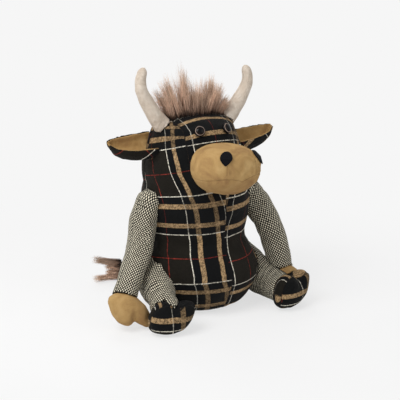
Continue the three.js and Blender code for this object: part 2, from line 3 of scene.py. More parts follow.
import bpy
import numpy as np
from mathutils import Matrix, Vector, noise
from mathutils.bvhtree import BVHTree


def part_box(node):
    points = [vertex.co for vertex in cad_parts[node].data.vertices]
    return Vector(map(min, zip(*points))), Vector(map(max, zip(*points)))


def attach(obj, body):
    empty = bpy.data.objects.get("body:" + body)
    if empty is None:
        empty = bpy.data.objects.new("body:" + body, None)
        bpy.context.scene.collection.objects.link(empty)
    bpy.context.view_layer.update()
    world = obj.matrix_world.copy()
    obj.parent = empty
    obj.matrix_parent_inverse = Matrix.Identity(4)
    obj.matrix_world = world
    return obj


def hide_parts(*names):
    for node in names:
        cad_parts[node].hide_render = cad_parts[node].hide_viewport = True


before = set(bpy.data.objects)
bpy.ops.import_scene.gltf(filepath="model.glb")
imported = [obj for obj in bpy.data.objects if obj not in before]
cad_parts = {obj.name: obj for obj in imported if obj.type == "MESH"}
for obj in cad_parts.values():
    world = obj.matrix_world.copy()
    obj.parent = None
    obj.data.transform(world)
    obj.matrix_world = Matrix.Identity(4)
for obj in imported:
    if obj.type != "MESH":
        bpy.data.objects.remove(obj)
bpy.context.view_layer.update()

mm = 0.001
scene = bpy.context.scene
sides = (("right", -1), ("left", 1))


# Camera and light
view = {"azimuth": -30, "elevation": 16, "distance": 1.5, "lens": 100, "target": (0.0041, -0.0024, 0.140)}


def aim(thing, place, target):
    thing.location = place
    thing.rotation_euler = (Vector(target) - Vector(place)).to_track_quat("-Z", "Y").to_euler()


def around(target, azimuth, elevation, distance):
    turn, rise = math.radians(azimuth), math.radians(elevation)
    back = Vector((math.sin(turn) * math.cos(rise), -math.cos(turn) * math.cos(rise), math.sin(rise)))
    return Vector(target) + back * distance


def addCamera():
    camera = bpy.data.objects.new("camera", bpy.data.cameras.new("camera"))
    scene.collection.objects.link(camera)
    camera.data.lens = view["lens"]
    camera.data.sensor_width = 36
    camera.data.clip_start = 0.05
    aim(camera, around(view["target"], view["azimuth"], view["elevation"], view["distance"]), view["target"])
    scene.camera = camera


lampTarget = (0, 0, 0.15)


def addLamp(name, azimuth, elevation, distance, size, power):
    lamp = bpy.data.objects.new(name, bpy.data.lights.new(name, "AREA"))
    scene.collection.objects.link(lamp)
    lamp.data.shape = "SQUARE"
    lamp.data.size = size
    lamp.data.energy = power
    aim(lamp, around(lampTarget, azimuth, elevation, distance), lampTarget)


addCamera()
addLamp("keyLamp", -70, 48, 1.3, 0.7, 12)
addLamp("fillLamp", 25, 30, 1.5, 0.9, 2.5)
addLamp("backLamp", 165, 50, 1.4, 0.7, 4)
scene.view_settings.view_transform = "Standard"


# Tools for node trees
def setInput(tree, socket, value):
    if isinstance(value, bpy.types.NodeSocket):
        tree.links.new(value, socket)
    else:
        socket.default_value = value


def addNode(tree, kind, inputs=None, **settings):
    node = tree.nodes.new(kind)
    for key, value in settings.items():
        setattr(node, key, value)
    for key, value in (inputs or {}).items():
        setInput(tree, node.inputs[key], value)
    return node


def calc(tree, operation, *values):
    return addNode(tree, "ShaderNodeMath", dict(enumerate(values)), operation=operation).outputs[0]


# A start plus each value times its weight.
def weigh(tree, start, *parts):
    for value, weight in parts:
        start = calc(tree, "ADD", start, calc(tree, "MULTIPLY", value, weight))
    return start


def clamped(tree, value):
    return addNode(tree, "ShaderNodeClamp", {"Value": value}).outputs[0]


def blendColor(tree, factor, first, second, how="MIX"):
    inputs = {0: factor, 6: first, 7: second}
    return addNode(tree, "ShaderNodeMix", inputs, data_type="RGBA", blend_type=how).outputs[2]


def dimmed(tree, color, factor):
    return addNode(tree, "ShaderNodeVectorMath", {0: color, "Scale": factor}, operation="SCALE").outputs[0]


def noiseOf(tree, place, scale, detail=2, **more):
    inputs = {"Vector": place, "Scale": scale, "Detail": detail, **more}
    return addNode(tree, "ShaderNodeTexNoise", inputs).outputs[0]


def ramp(tree, factor, stops, interpolation="LINEAR"):
    node = addNode(tree, "ShaderNodeValToRGB", {"Fac": factor})
    bar = node.color_ramp
    bar.interpolation = interpolation
    while len(bar.elements) > 1:
        bar.elements.remove(bar.elements[-1])
    bar.elements[0].position = stops[0][0]
    bar.elements[0].color = stops[0][1]
    for place, color in stops[1:]:
        bar.elements.new(place).color = color
    return node.outputs


def srgb(red, green, blue, alpha=1.0):
    def linear(value):
        value = value / 255
        return value / 12.92 if value <= 0.04045 else ((value + 0.055) / 1.055) ** 2.4
    return (linear(red), linear(green), linear(blue), alpha)


def newGroup(name, inputs, outputs):
    group = bpy.data.node_groups.new(name, "ShaderNodeTree")
    for label, kind, value in inputs:
        socket = group.interface.new_socket(name=label, in_out="INPUT", socket_type=kind)
        if value is not None:
            socket.default_value = value
    for label in outputs:
        group.interface.new_socket(name=label, in_out="OUTPUT", socket_type="NodeSocketFloat")
    return group, group.nodes.new("NodeGroupInput").outputs, group.nodes.new("NodeGroupOutput").inputs


def useGroup(tree, group, **inputs):
    return addNode(tree, "ShaderNodeGroup", inputs, node_tree=group).outputs[:]


def newMaterial(name, sheen=0.0, sheenTint=(1, 1, 1, 1), **shader):
    material = bpy.data.materials.new(name)
    material.use_nodes = True
    tree = material.node_tree
    principled = tree.nodes["Principled BSDF"]
    principled.inputs["Sheen Weight"].default_value = sheen
    principled.inputs["Sheen Tint"].default_value = sheenTint
    principled.inputs["Sheen Roughness"].default_value = 0.5
    for key, value in shader.items():
        principled.inputs[key.replace("_", " ")].default_value = value
    return material, tree


def finishMaterial(material, color, roughness, height, distance):
    tree = material.node_tree
    shader = tree.nodes["Principled BSDF"].inputs
    bump = addNode(tree, "ShaderNodeBump", {"Height": height, "Strength": 1.0, "Distance": distance})
    for key, value in (("Base Color", color), ("Roughness", roughness), ("Normal", bump.outputs[0])):
        setInput(tree, shader[key], value)
    return material


def attribute(tree, name):
    return addNode(tree, "ShaderNodeAttribute", attribute_name=name).outputs[2]


def objectPlace(tree):
    return tree.nodes.new("ShaderNodeTexCoord").outputs["Object"]


# Place along the cloth's own threads, in repeats of its pattern.
def cutPlace(tree):
    cut = addNode(tree, "ShaderNodeUVMap", uv_map="cut").outputs[0]
    return addNode(tree, "ShaderNodeSeparateXYZ", {"Vector": cut}).outputs[:2]


# Two waves that cross, each one turn to a unit.
def crossWaves(tree, kind, places):
    turns = [calc(tree, "MULTIPLY", place, math.tau) for place in places]
    return calc(tree, "ADD", *(calc(tree, kind, turn) for turn in turns))


# Shared effects: scale, detail and roughness of each kind of unevenness in wool
woolScales = {"Hairs": (900, 3, 0.7), "Cloud": (38, 3, 0.5), "Flock": (390, 1, 0.5)}


# Fine hairs, the slow unevenness of dyed cloth and the coarser flock of a brushed face, each from 0 to 1.
def woolGroup():
    group, given, result = newGroup("woolHairs", [("Vector", "NodeSocketVector", None)], woolScales)
    for label, (scale, detail, roughness) in woolScales.items():
        group.links.new(noiseOf(group, given[0], scale, detail, Roughness=roughness), result[label])
    return group


# Little puckers that run away from a seam, strongest beside it, and the painted shade in its groove.
def puckerGroup():
    inputs = [("Seam", "NodeSocketFloat", 0.0), ("Vector", "NodeSocketVector", None)]
    group, given, result = newGroup("seamPuckers", inputs, ("Height", "Shade"))
    near = calc(group, "POWER", given[0], 0.5)
    uneven = calc(group, "SUBTRACT", noiseOf(group, given[1], 170, 1), 0.5)
    group.links.new(calc(group, "MULTIPLY", near, uneven), result[0])
    group.links.new(calc(group, "POWER", given[0], 5.0), result[1])
    return group


wool = woolGroup()
puckers = puckerGroup()


def sewnLook(tree, place):
    return useGroup(tree, puckers, Seam=attribute(tree, "seam"), Vector=place)


# Tartan, its sizes in mm: the map "cut" holds one unit to a repeat of the pattern
tartan = {
    "repeat": 118, "white": 32, "lineHalf": 0.6, "redHalf": 0.4, "tan": 45.5, "tanHalf": 3.3, "thread": 0.75,
    "brown": srgb(24, 21, 16, 1.0), "black": srgb(4, 5, 7, 0.4), "middle": srgb(6, 7, 8, 0.4),
    "tanYarn": srgb(168, 139, 102, 0.8), "whiteYarn": srgb(226, 220, 204, 1.0),
    "redYarn": srgb(150, 50, 40, 0.65), "levelExtra": 0.35, "hairBrush": 1.5, "flockBrush": 2.3, "worn": 0.95,
    "twillLow": 0.86, "twillRise": 0.28, "tone": 0.35, "cloudTone": 0.5, "flockTone": 0.8, "seamShade": 0.75,
    "seamShadeColor": srgb(8, 7, 8), "ribHeight": 0.06, "hairHeight": 0.6, "gatherHeight": 2.2, "bump": 0.6 * mm,
}


# The cloth's ground is as dark as the darker of its two yarns, and the coloured yarns lie over it. How much
# of them the ground of the other direction lets through is that colour's alpha, and more for the level lines.
def tartanMaterial():
    material, tree = newMaterial("tartanWool", sheen=0.03, sheenTint=(0.75, 0.7, 0.62, 1),
                                 Specular_IOR_Level=0.15)
    half = tartan["repeat"] / 2
    place, parts = objectPlace(tree), cutPlace(tree)
    hairs, cloud, flock = useGroup(tree, wool, Vector=place)
    clear = srgb(0, 0, 0, 0)
    ground = [(0.0, tartan["brown"]), (tartan["white"] / half, tartan["black"]),
              (tartan["tan"] / half, tartan["middle"])]
    lines = [(0.0, tartan["redYarn"]), (tartan["redHalf"] / half, clear)]
    for middle, reach, yarn in (("white", "lineHalf", "whiteYarn"), ("tan", "tanHalf", "tanYarn")):
        lines += [((tartan[middle] - tartan[reach]) / half, tartan[yarn]),
                  ((tartan[middle] + tartan[reach]) / half, clear)]
    wander = calc(tree, "MULTIPLY", calc(tree, "SUBTRACT", hairs, 0.5), 1.0 / tartan["repeat"])
    grounds, overs = [], []
    for part in parts:
        turn = calc(tree, "FRACT", calc(tree, "ADD", calc(tree, "ADD", part, wander), 0.5))
        folded = calc(tree, "MULTIPLY", calc(tree, "ABSOLUTE", calc(tree, "SUBTRACT", turn, 0.5)), 2.0)
        grounds.append(ramp(tree, folded, ground, "CONSTANT"))
        overs.append(ramp(tree, folded, lines, "CONSTANT"))
    threads = [calc(tree, "MULTIPLY", part, tartan["repeat"] / tartan["thread"]) for part in parts]
    color = blendColor(tree, 1.0, grounds[0][0], grounds[1][0], "DARKEN")
    # two threads over and two under, one thread along at each row
    steps = calc(tree, "ADD", *(calc(tree, "FLOOR", thread) for thread in threads))
    twill = calc(tree, "GREATER_THAN", calc(tree, "FRACT", calc(tree, "MULTIPLY", steps, 0.25)), 0.49)
    twills = (twill, calc(tree, "SUBTRACT", 1.0, twill))
    brushed = weigh(tree, -tartan["worn"], (hairs, tartan["hairBrush"]), (flock, tartan["flockBrush"]))
    for over, other, side, extra in zip(overs, reversed(grounds), twills, (0.0, tartan["levelExtra"])):
        woven = weigh(tree, tartan["twillLow"], (side, tartan["twillRise"]))
        through = calc(tree, "MULTIPLY", over[1], weigh(tree, extra, (other[1], 1.0 - extra)))
        shown = calc(tree, "MULTIPLY", calc(tree, "MULTIPLY", through, brushed), woven)
        color = blendColor(tree, clamped(tree, shown), color, over[0])
    tone = weigh(tree, tartan["tone"], (cloud, tartan["cloudTone"]), (flock, tartan["flockTone"]))
    # the groove of each seam is darkened: painted shade
    gather, line = sewnLook(tree, place)
    dark = calc(tree, "MULTIPLY", line, tartan["seamShade"])
    color = blendColor(tree, dark, dimmed(tree, color, tone), tartan["seamShadeColor"])
    height = weigh(tree, 0.0, (crossWaves(tree, "SINE", threads), tartan["ribHeight"]),
                   (hairs, tartan["hairHeight"]), (gather, tartan["gatherHeight"]))
    return finishMaterial(material, color, weigh(tree, 0.82, (hairs, 0.15)), height, tartan["bump"])


# Tweed: the map "cut" holds one unit to a repeat of the bird's-eye weave
tweed = {
    "stops": [(0.48, srgb(10, 8, 7)), (0.58, srgb(70, 63, 50)), (0.69, srgb(232, 224, 200))],
    "loose": 0.55, "tone": 0.82, "cloudTone": 0.36, "seamShade": 0.65, "seamShadeColor": srgb(24, 21, 18),
    "hairHeight": 0.5, "gatherHeight": 1.6, "bump": 0.7 * mm,
}


def tweedMaterial():
    material, tree = newMaterial("tweedWool", sheen=0.15, sheenTint=(0.8, 0.77, 0.68, 1),
                                 Specular_IOR_Level=0.2)
    place = objectPlace(tree)
    hairs, cloud = useGroup(tree, wool, Vector=place)[:2]
    dots = calc(tree, "MULTIPLY", crossWaves(tree, "COSINE", cutPlace(tree)), 0.25)
    loose = calc(tree, "MULTIPLY", calc(tree, "SUBTRACT", hairs, 0.5), tweed["loose"])
    level = calc(tree, "ADD", calc(tree, "ADD", dots, 0.5), loose)
    tone = weigh(tree, tweed["tone"], (cloud, tweed["cloudTone"]))
    color = dimmed(tree, ramp(tree, level, tweed["stops"])[0], tone)
    # the groove of each seam is darkened: painted shade
    gather, line = sewnLook(tree, place)
    color = blendColor(tree, calc(tree, "MULTIPLY", line, tweed["seamShade"]), color, tweed["seamShadeColor"])
    height = weigh(tree, dots, (hairs, tweed["hairHeight"]), (gather, tweed["gatherHeight"]))
    return finishMaterial(material, color, 0.9, height, tweed["bump"])


# Suede: short nap that lies lighter and darker in patches, with fine creases
def napGroup():
    inputs = [("Vector", "NodeSocketVector", None), ("Patch", "NodeSocketFloat", 45.0),
              ("Crease", "NodeSocketFloat", 60.0)]
    group, given, result = newGroup("suedeNap", inputs, ("Patches", "Grain", "Creases"))
    patches = noiseOf(group, given[0], given[1], 4, Roughness=0.6, Distortion=0.6)
    grain = noiseOf(group, given[0], 1500)
    folds = noiseOf(group, given[0], given[2], Distortion=1.4)
    ridge = calc(group, "ABSOLUTE", calc(group, "SUBTRACT", folds, 0.5))
    creases = clamped(group, calc(group, "MULTIPLY", ridge, 5.0))
    for value, socket in zip((patches, grain, creases), result):
        group.links.new(value, socket)
    return group


nap = napGroup()
suedes = {
    "tanSuede": {
        "dark": srgb(136, 103, 68), "base": srgb(171, 138, 89), "light": srgb(190, 159, 109), "patch": 42,
        "crease": 55, "creaseDepth": 0.35,
    },
    "creamSuede": {
        "dark": srgb(184, 168, 151), "base": srgb(209, 196, 181), "light": srgb(224, 215, 203), "patch": 60,
        "crease": 48, "creaseDepth": 1.3,
    },
}
suedeLook = {
    "tone": 0.88, "grainTone": 0.24, "shadow": 0.55, "deep": 0.35, "seamShade": 0.7, "foldShade": 0.25,
    "grainHeight": 0.25, "gatherHeight": 1.5, "bump": 0.5 * mm,
}


def suedeMaterial(name, dark, base, light, patch, crease, creaseDepth):
    material, tree = newMaterial(name, sheen=0.18, sheenTint=light, Specular_IOR_Level=0.15)
    place = objectPlace(tree)
    patches, grain, creases = useGroup(tree, nap, Vector=place, Patch=patch, Crease=crease)
    color = ramp(tree, patches, [(0.25, dark), (0.5, base), (0.78, light)])[0]
    color = dimmed(tree, color, weigh(tree, suedeLook["tone"], (grain, suedeLook["grainTone"])))
    # Painted shade: the "shadow" mark, the groove of each seam and the fine creases darken the colour.
    shadow = calc(tree, "MULTIPLY", attribute(tree, "shadow"), suedeLook["shadow"])
    gather, line = sewnLook(tree, place)
    seamShadow = calc(tree, "MULTIPLY", line, suedeLook["seamShade"])
    creaseShade = calc(tree, "MULTIPLY", calc(tree, "SUBTRACT", 1.0, creases), creaseDepth * suedeLook["foldShade"])
    deep = tuple(channel * suedeLook["deep"] for channel in dark[:3]) + (1.0,)
    for amount, shade in ((shadow, dark), (seamShadow, deep), (creaseShade, dark)):
        color = blendColor(tree, amount, color, shade)
    height = weigh(tree, 0.0, (creases, creaseDepth), (grain, suedeLook["grainHeight"]),
                   (gather, suedeLook["gatherHeight"]))
    return finishMaterial(material, color, weigh(tree, 0.84, (patches, 0.12)), height, suedeLook["bump"])


def feltMaterial():
    material, tree = newMaterial("blackFelt", sheen=0.02, Specular_IOR_Level=0.15)
    hairs, cloud = useGroup(tree, wool, Vector=objectPlace(tree))[:2]
    color = ramp(tree, hairs, [(0.3, srgb(4, 4, 8)), (0.7, srgb(11, 11, 16))])[0]
    return finishMaterial(material, color, 0.95, calc(tree, "ADD", hairs, cloud), 0.4 * mm)


def calicoMaterial():
    material, tree = newMaterial("bagCalico", sheen=0.1, Specular_IOR_Level=0.2)
    place = objectPlace(tree)
    hairs, cloud = useGroup(tree, wool, Vector=place)[:2]
    color = ramp(tree, cloud, [(0.3, srgb(196, 184, 158)), (0.7, srgb(222, 212, 190))])[0]
    weave = addNode(tree, "ShaderNodeTexWave", {"Vector": place, "Scale": 400, "Distortion": 1.0}).outputs[1]
    return finishMaterial(material, color, 0.9, calc(tree, "ADD", hairs, weave), 0.4 * mm)


# Fur: "strand" runs from 0 at the root to 1 at the tip, "shade" differs from hair to hair
furLook = {
    "stops": [(0.0, srgb(26, 18, 13)), (0.1, srgb(70, 51, 40)), (0.26, srgb(147, 119, 101)),
              (0.55, srgb(175, 148, 128)), (1.0, srgb(164, 140, 120))],
    "tone": 0.45, "shadeTone": 2.1,
}


def furMaterial():
    material, tree = newMaterial("longFur", sheen=0.1, Specular_IOR_Level=0.3)
    strand = attribute(tree, "strand")
    tone = weigh(tree, furLook["tone"], (attribute(tree, "shade"), furLook["shadeTone"]))
    color = dimmed(tree, ramp(tree, strand, furLook["stops"])[0], tone)
    streaks = noiseOf(tree, objectPlace(tree), 700)
    return finishMaterial(material, color, weigh(tree, 0.42, (strand, 0.2)), streaks, 0.2 * mm)


# Eye plastic, coloured by the distance from the dome's middle that "ring" holds: black pupil, brown iris, and
# a pale ring at 0.78 to 0.82 that is a painted reflection of the rim.
eyeRingsWithRimReflection = [(0.0, srgb(3, 3, 5)), (0.5, srgb(4, 4, 6)), (0.56, srgb(30, 19, 14)), (0.74, srgb(20, 14, 12)),
            (0.78, srgb(158, 138, 124)), (0.82, srgb(150, 132, 120)), (0.86, srgb(14, 12, 12)),
            (1.0, srgb(8, 8, 9))]


def eyeMaterial():
    material, tree = newMaterial("eyePlastic", Specular_IOR_Level=0.03, Coat_Weight=0.4,
                                 Coat_Roughness=0.03, Coat_IOR=1.3)
    scratches = noiseOf(tree, objectPlace(tree), 1100)
    color = ramp(tree, attribute(tree, "ring"), eyeRingsWithRimReflection)[0]
    return finishMaterial(material, color, weigh(tree, 0.08, (scratches, 0.08)), scratches, 0.02 * mm)


def washerMaterial():
    material, tree = newMaterial("washerPlastic", Specular_IOR_Level=0.4)
    grain = noiseOf(tree, objectPlace(tree), 500)
    color = ramp(tree, grain, [(0.3, srgb(205, 205, 200)), (0.7, srgb(225, 225, 220))])[0]
    return finishMaterial(material, color, 0.45, grain, 0.1 * mm)


tartanWool = tartanMaterial()
tweedWool = tweedMaterial()
tanSuede, creamSuede = (suedeMaterial(name, **suede) for name, suede in suedes.items())
blackFelt = feltMaterial()
longFur = furMaterial()
eyePlastic = eyeMaterial()
print("materials made")


# Mesh tools
def select(*things):
    bpy.ops.object.select_all(action="DESELECT")
    for thing in things:
        thing.select_set(True)
    bpy.context.view_layer.objects.active = things[0]


def modify(piece, kind, **settings):
    modifier = piece.modifiers.new(kind.lower(), kind)
    for key, value in settings.items():
        setattr(modifier, key, value)
    select(piece)
    bpy.ops.object.modifier_apply(modifier=modifier.name)


def editAll(piece, *steps):
    select(piece)
    bpy.ops.object.mode_set(mode="EDIT")
    bpy.ops.mesh.select_all(action="SELECT")
    for step in steps:
        step()
    bpy.ops.object.mode_set(mode="OBJECT")


def readAll(things, key, width=3, kind=float):
    found = np.empty(len(things) * width, kind)
    things.foreach_get(key, found)
    return found.reshape(-1, width) if width > 1 else found


def points(piece):
    return readAll(piece.data.vertices, "co")


def normals(piece):
    return readAll(piece.data.vertex_normals, "vector")


def movePoints(piece, places):
    piece.data.vertices.foreach_set("co", np.asarray(places, float).ravel())
    piece.data.update()


def surfaceOf(node):
    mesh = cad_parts[node].data
    return BVHTree.FromPolygons([v.co for v in mesh.vertices], [p.vertices for p in mesh.polygons])


# How far each point lies from the neighbours' solids, up to a limit.
def distanceTo(places, nodes, limit):
    found = np.full(len(places), limit)
    for tree in [surfaceOf(node) for node in nodes]:
        for index, place in enumerate(places):
            near = tree.find_nearest(Vector(place), limit)
            if near[0] is not None and near[3] < found[index]:
                found[index] = near[3]
    return found


def step01(value, low, high):
    share = np.clip((value - low) / (high - low), 0, 1)
    return share * share * (3 - 2 * share)


# How firmly the cloth is held: wholly beside a neighbour's solid, and not at all a little way off.
def heldNear(places, nodes, hold, whole=0.5, free=1.6):
    return 1 - step01(distanceTo(places, nodes, 10 * mm), hold * whole, hold * free)


def keepAbove(piece, height):
    places = points(piece)
    places[:, 2] = np.maximum(places[:, 2], height)
    movePoints(piece, places)


# A copy of a node's solid as one even mesh.
def clothCopy(name, node, voxel, smooth):
    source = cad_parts[node]
    piece = bpy.data.objects.new(name, source.data.copy())
    piece.data.name = name
    scene.collection.objects.link(piece)
    piece.data.materials.clear()
    editAll(piece, lambda: bpy.ops.mesh.remove_doubles(threshold=0.00002))
    modify(piece, "REMESH", mode="VOXEL", voxel_size=voxel)
    modify(piece, "SMOOTH", factor=0.5, iterations=smooth)
    return piece


filling = {"quality": 5, "mass": 0.3, "stretch": 8, "shear": 4, "bend": 0.4, "frames": 20, "quickSwell": 1.3}


# The filling presses the cloth outwards. What touches a neighbour or a seam is held.
def inflate(piece, plan, held):
    start = points(piece)
    inward = normals(piece) * (plan["slack"] * (1 - held))[:, None]
    start = start - inward
    movePoints(piece, start)
    group = piece.vertex_groups.new(name="held")
    for index, weight in enumerate(held):
        group.add([index], float(weight), "REPLACE")
    modifier = piece.modifiers.new("filling", "CLOTH")
    cloth = modifier.settings
    cloth.quality = filling["quality"]
    cloth.mass = filling["mass"]
    cloth.tension_stiffness = cloth.compression_stiffness = filling["stretch"]
    cloth.shear_stiffness = filling["shear"]
    cloth.bending_stiffness = filling["bend"]
    cloth.use_pressure = True
    cloth.uniform_pressure_force = plan["pressure"]
    cloth.vertex_group_mass = "held"
    cloth.pin_stiffness = 1.0
    cloth.shrink_min = -plan["ease"]
    cloth.effector_weights.gravity = 0
    modifier.point_cache.frame_start = 1
    modifier.point_cache.frame_end = filling["frames"]
    for number in range(1, filling["frames"] + 1):
        scene.frame_set(number)
    shaped = piece.evaluated_get(bpy.context.evaluated_depsgraph_get())
    moved = readAll(shaped.data.vertices, "co") - start
    length = np.linalg.norm(moved, axis=1)
    moved *= np.minimum(1, plan["cap"] / np.maximum(length, 1e-9))[:, None]
    piece.modifiers.remove(modifier)
    piece.vertex_groups.remove(group)
    movePoints(piece, start + moved)
    scene.frame_set(1)
    print("filled", piece.name, len(start), "points, swell mm", round(float(length.mean() / mm), 2),
          "to", round(float(length.max() / mm), 2))


def refine(piece):
    modify(piece, "SMOOTH", factor=0.4, iterations=2)
    modify(piece, "SUBSURF", levels=1, render_levels=1)


# Slow unevenness of the filling, in the direction of the surface.
def unevenness(piece, amount, size, seed):
    places = points(piece)
    shift = Vector((seed * 3.7, seed * 1.3, seed * 7.1))
    lumps = np.array([noise.noise(Vector(place) / size + shift) for place in places])
    movePoints(piece, places + normals(piece) * (lumps * amount)[:, None])


def keep(piece, name, values):
    layer = piece.data.attributes.new(name, "FLOAT", "POINT")
    layer.data.foreach_set("value", np.full(len(layer.data), values, np.float32))


# A sewn seam: a groove along it, and its closeness kept for the material.
def sewSeam(piece, distance, depth, width, shadow=0.0):
    closeness = np.exp(-(distance / width) ** 2)
    movePoints(piece, points(piece) - normals(piece) * (depth * closeness)[:, None])
    keep(piece, "seam", closeness)
    keep(piece, "shadow", shadow)


# Cuts new edges where a plane crosses the chosen faces.
def cutLine(piece, place, direction, choose):
    select(piece)
    mesh = piece.data
    bpy.ops.object.mode_set(mode="EDIT")
    bpy.ops.mesh.select_all(action="DESELECT")
    bpy.ops.object.mode_set(mode="OBJECT")
    for face in mesh.polygons:
        face.select = bool(choose(face.center))
    bpy.ops.object.mode_set(mode="EDIT")
    bpy.ops.mesh.bisect(plane_co=place, plane_no=direction)
    bpy.ops.object.mode_set(mode="OBJECT")


def mapCloth(piece, cutOf):
    mesh = piece.data
    layer = mesh.uv_layers.new(name="cut")
    corners = readAll(mesh.loops, "vertex_index", 1, np.int64)
    counts = readAll(mesh.polygons, "loop_total", 1, np.int64)
    face = np.repeat(np.arange(len(mesh.polygons)), counts)
    centres, facing = (readAll(mesh.polygons, key)[face] for key in ("center", "normal"))
    cut = cutOf(points(piece)[corners], centres, facing)
    layer.data.foreach_set("uv", np.asarray(cut, np.float32).ravel())


def finishPiece(piece, material, slotName, *nodes, fill=0.8):
    piece.data.materials.clear()
    piece.data.materials.append(material)
    select(piece)
    bpy.ops.object.shade_smooth()
    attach(piece, "root")
    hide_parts(*nodes)
    print("finished", piece.name, len(piece.data.polygons), "faces")


sagHeights = (4 * mm, 26 * mm)


# A stuffed piece: held where it touches its neighbours, sagging where it lies loose near the floor.
def stuffedPiece(name, node, plan, touch, lumps, seed):
    piece = clothCopy(name, node, plan["voxel"], 1)
    places = points(piece)
    held = heldNear(places, touch, plan["hold"])
    places[:, 2] -= plan["sag"] * (1 - held) * (1 - step01(places[:, 2], *sagHeights))
    movePoints(piece, places)
    inflate(piece, plan, held)
    refine(piece)
    unevenness(piece, *lumps, seed)
    keepAbove(piece, plan["floor"])
    return piece


# Body and head: heights, lines and spacings of the cloth in mm, sizes of the sewn form in metres
body = {
    "voxel": 4.2 * mm, "slack": 1.2 * mm, "pressure": 4.0, "cap": 3.0 * mm, "ease": 0.02, "hold": 3.0 * mm,
    "frontSeam": 4.5 * mm, "foreheadHalf": 42 * mm, "foreheadFrom": 206 * mm, "napeHeight": 196 * mm,
    "napeDepth": 66 * mm, "sideSeam": 14 * mm, "grooveDepth": 1.0 * mm, "grooveWidth": 2.2 * mm,
    "seamHold": 2.6 * mm, "cutMargin": 4 * mm, "lumps": (0.9 * mm, 35 * mm), "lean": -5,
    "leanOver": (47, 260),
    "heights": (0, 10, 47, 91, 135, 167, 200, 238, 258), "radii": (50, 65, 83, 67, 73, 70, 68, 57, 14),
    "whiteHeights": (0, 51, 101, 125, 151, 173, 194, 222, 250),
    "whiteAt": (30, 48, 44, 49, 53.4, 62.3, 74, 80, 80),
    "slope": 0.22, "slopeOver": (150, 200), "slopeFrom": 45,
    "rightRed": 82.2, "rightDroop": 0.0007, "droopEnd": (165, 195),
    "leftRed": 73.5, "leftRedAt": 41.0, "leftWhite": 46, "leftOver": (110, 140),
    "crown": (212, 66, 48, 57, 28.4), "crownRadius": 60, "foreheadRedAt": -4,
    "backRed": 70, "backUp": 12, "backAcross": (37, -29), "backStep": 6,
    "baseSwell": 3.5 * mm, "swellHeight": 10 * mm, "swellReach": 14 * mm,
}
bodyTouch = ["muzzle", "arm_right", "arm_left", "leg_right", "leg_left", "horn_right", "horn_left",
             "ear_outer_right", "ear_outer_left", "ear_inner_right", "ear_inner_left", "forelock", "tail",
             "weight_bag", "base_panel", "eye_right", "eye_left", "eye_washer_right", "eye_washer_left"]


def arcLength(height):
    heights, radii = np.array(body["heights"], float), np.array(body["radii"], float)
    steps = np.hypot(np.diff(heights), np.diff(radii))
    return np.interp(height, heights, np.concatenate([[0], np.cumsum(steps)]))


# Half the width that the gusset still has behind the crown, where it narrows to the nape.
def napeHalf(y):
    return body["foreheadHalf"] * np.clip(1 - y / body["napeDepth"], 0, 1)


def onForehead(x, y, z):
    front = (y < 0) & (np.abs(x) < body["foreheadHalf"]) & (z > body["foreheadFrom"])
    back = (y >= 0) & (np.abs(x) < napeHalf(y)) & (z > body["napeHeight"])
    return front | back


# Distance in mm from the body's leaning axis to the CAD skin, which has none of the cloth's folds.
def skinRadius(spots):
    head = surfaceOf("torso_head")
    found = np.hypot(spots[:, 0], spots[:, 1])
    for index, (x, y, z) in enumerate(spots):
        out = Vector((x, y, 0)).normalized()
        axis = Vector((0, bodyLean(z) * mm, z * mm))
        place = head.ray_cast(axis + out * 0.2, -out)[0]
        if place is not None:
            found[index] = (place - axis).length / mm
    return found


def bodyLean(height):
    return body["lean"] * step01(height, *body["leanOver"])


# Each panel's cloth is laid by itself: u runs across the panel and v up it, in mm until the last line.
def bodyCut(places, centres, facing):
    x, y, z = (places / mm).T
    lean = bodyLean(z)
    bearing = np.arctan2(x, -(y - lean))
    spots, whose = np.unique(np.stack([x, y - lean, z], 1), axis=0, return_inverse=True)
    radius = skinRadius(spots)[whose.ravel()]
    across = radius * bearing
    along = arcLength(z)
    whiteAt = np.interp(z, body["whiteHeights"], body["whiteAt"])
    slope = body["slope"] * step01(z, *body["slopeOver"])
    rightU = -across - whiteAt - tartan["white"]
    droop = body["rightDroop"] * (1 - step01(z, *body["droopEnd"]))
    rightV = along - arcLength(body["rightRed"]) + slope * (-across - body["slopeFrom"]) + droop * across ** 2
    leftU = across - body["leftRedAt"] - (whiteAt - body["leftWhite"]) * step01(z, *body["leftOver"])
    leftV = along - arcLength(body["leftRed"]) + slope * (across - body["slopeFrom"])
    crownHeight, crownDepth, crownRise, crownScale, crownWhite = body["crown"]
    over = np.arctan2((z - crownHeight) / crownRise, -(y - lean) / crownDepth)
    topU = body["crownRadius"] * np.arcsin(np.clip(x / body["crownRadius"], -1, 1)) - body["foreheadRedAt"]
    topV = tartan["white"] + crownScale * over - crownWhite
    backU = radius * np.arctan2(x, y - lean)
    backV = along - arcLength(body["backRed"]) + body["backUp"]
    cx, cy, cz = centres.T
    top = onForehead(cx, cy, cz)
    back = (cy > body["sideSeam"]) & ~top
    left = (cx > body["frontSeam"]) & ~top & ~back
    panels = [top, back & (cx < 0), back, left]
    rightBack, leftBack = (backU - shift for shift in body["backAcross"])
    u = np.select(panels, [topU, rightBack, leftBack, leftU], rightU)
    v = np.select(panels, [topV, backV, backV - body["backStep"], leftV], rightV)
    return np.stack([u, v], 1) / tartan["repeat"]


def bodySeams(places):
    x, y, z = places.T
    off = ~onForehead(x, y, z)
    slant = body["napeDepth"] / math.hypot(body["napeDepth"], body["foreheadHalf"])
    seams = [
        ((y < 0) & (z < body["foreheadFrom"]), np.abs(x - body["frontSeam"])),
        ((y < 0) & (z > body["foreheadFrom"]), np.abs(np.abs(x) - body["foreheadHalf"])),
        ((y >= 0) & (z > body["napeHeight"]), np.abs(np.abs(x) - napeHalf(y)) * slant),
        ((y > 0) & off, np.abs(x)),
        (off, np.abs(y - body["sideSeam"])),
    ]
    return np.minimum.reduce([np.where(where, distance, 1) for where, distance in seams])


